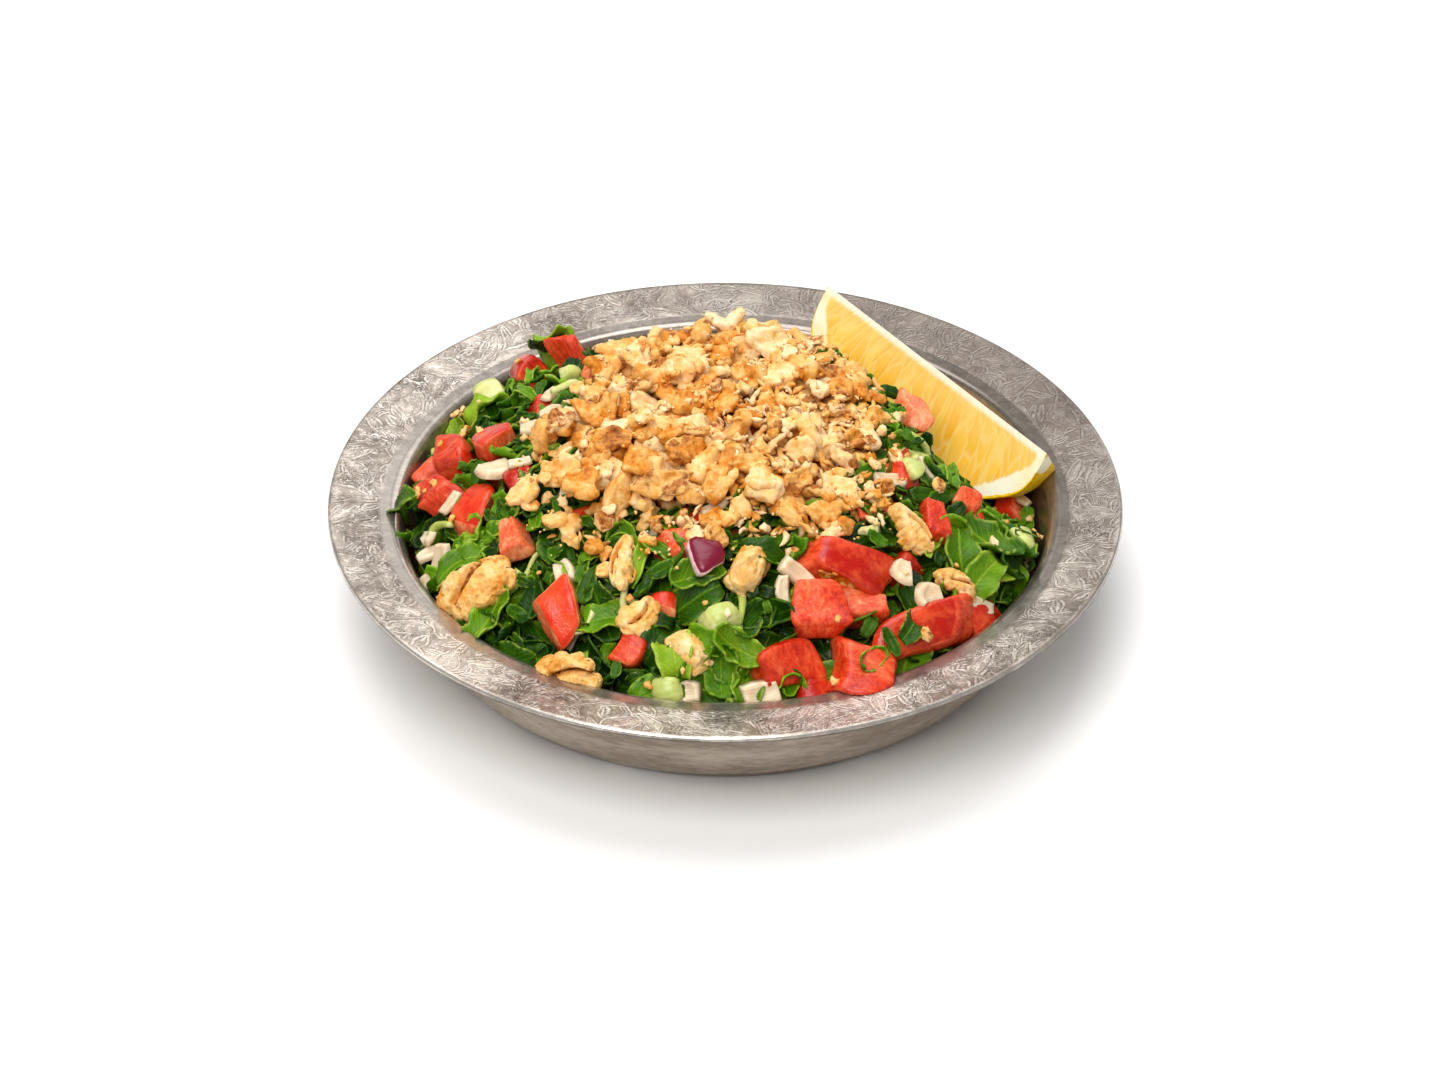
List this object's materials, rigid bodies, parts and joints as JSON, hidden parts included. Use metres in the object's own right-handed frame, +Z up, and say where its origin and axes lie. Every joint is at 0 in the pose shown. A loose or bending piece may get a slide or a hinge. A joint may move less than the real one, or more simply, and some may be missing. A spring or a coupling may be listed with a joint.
{
  "type": "dish of walnut salad",
  "caption": "Round metal dish with a wide flat rim, heaped with diced tomato, leaves and onion under crushed walnuts, with a lemon wedge leaning on its lip.",
  "frame": {"origin": "middle of the dish's flat base, on the table", "axes": "+Z up, -Y towards the viewer of the picture, +X to the viewer's right, where the lemon's tip lies"},
  "size_m": [0.21, 0.21, 0.0697],
  "materials": {
    "metal": "dull tinned metal, the rim engraved",
    "salad": "wet chopped leaves, tomato and onion",
    "nut": "dry crushed walnut",
    "lemon": "wet lemon flesh with a glossy rind"
  },
  "bodies": {
    "root": {"dish": "metal", "salad": "salad", "walnut_crumbs": "nut", "lemon_wedge": "lemon", "walnut_piece_left": "nut", "walnut_piece_front": "nut", "walnut_stick": "nut", "walnut_cube": "nut", "walnut_flake": "nut", "walnut_chip_low": "nut", "walnut_chip_right": "nut", "walnut_long_right": "nut"}
  },
  "joints": []
}
